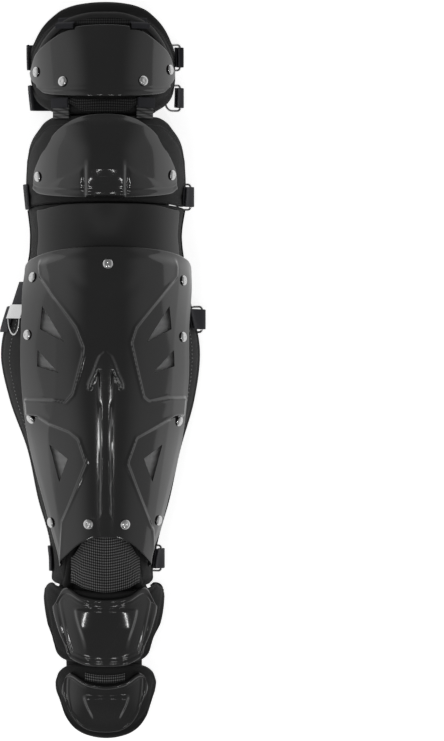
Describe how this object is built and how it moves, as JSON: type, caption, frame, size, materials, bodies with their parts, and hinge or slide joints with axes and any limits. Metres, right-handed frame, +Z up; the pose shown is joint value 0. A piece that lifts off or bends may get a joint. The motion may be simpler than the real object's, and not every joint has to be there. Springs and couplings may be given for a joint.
{
  "type": "catcher leg guard",
  "caption": "Catcher's leg guard with thigh flap, knee shell, vented shin plate on a padded liner, toe flap, and straps with hooked clips, lying on its back.",
  "frame": {"origin": "middle of the guard's plan, on the surface that it lies on", "axes": "+Y along the leg towards the thigh, +Z up, away from the leg and out of the shells"},
  "size_m": [0.2066, 0.7366, 0.132],
  "materials": {
    "shell": "gloss",
    "band": "satin",
    "fabric": "woven",
    "mesh": "mesh",
    "webbing": "woven",
    "leather": "matte",
    "steel": "polished"
  },
  "bodies": {
    "root": {"thigh_pad": "fabric", "thigh_plate": "shell", "plate_loop_left": "webbing", "plate_loop_right": "webbing", "thigh_rivet_1": "steel", "thigh_rivet_2": "steel", "thigh_rivet_3": "steel", "thigh_rivet_4": "steel", "link_strap_left": "webbing", "link_strap_right": "webbing", "knee_pad": "fabric", "knee_cup": "fabric", "knee_shell": "shell", "knee_rivet_left": "steel", "knee_rivet_right": "steel", "band_pad": "mesh", "band_plate": "band", "shin_liner": "fabric", "shin_plate": "shell", "shin_cushion": "mesh", "ankle_panel": "mesh", "shin_rivet_top": "steel", "shin_rivet_left_1": "steel", "shin_rivet_right_1": "steel", "shin_rivet_left_2": "steel", "shin_rivet_right_2": "steel", "shin_rivet_left_3": "steel", "shin_rivet_right_3": "steel", "shin_rivet_left_4": "steel", "shin_rivet_right_4": "steel", "shin_rivet_low_left": "steel", "shin_rivet_low_right": "steel", "upper_toe_pad": "fabric", "upper_toe_plate": "shell", "lower_toe_pad": "fabric", "lower_toe_plate": "shell", "toe_tab": "leather", "toe_tail_left": "webbing", "toe_tail_right": "webbing", "thigh_upper_strap": "webbing", "thigh_upper_clip": "steel", "thigh_upper_ring": "steel", "thigh_upper_ring_tab": "webbing", "thigh_lower_strap": "webbing", "thigh_lower_clip": "steel", "thigh_lower_ring": "steel", "thigh_lower_ring_tab": "webbing", "knee_strap": "webbing", "knee_clip": "steel", "knee_ring": "steel", "knee_ring_tab": "webbing", "calf_strap": "webbing", "calf_clip": "steel", "calf_ring": "steel", "calf_ring_tab": "webbing", "ankle_strap": "webbing", "ankle_clip": "steel", "ankle_ring": "steel", "ankle_ring_tab": "webbing"}
  },
  "joints": []
}
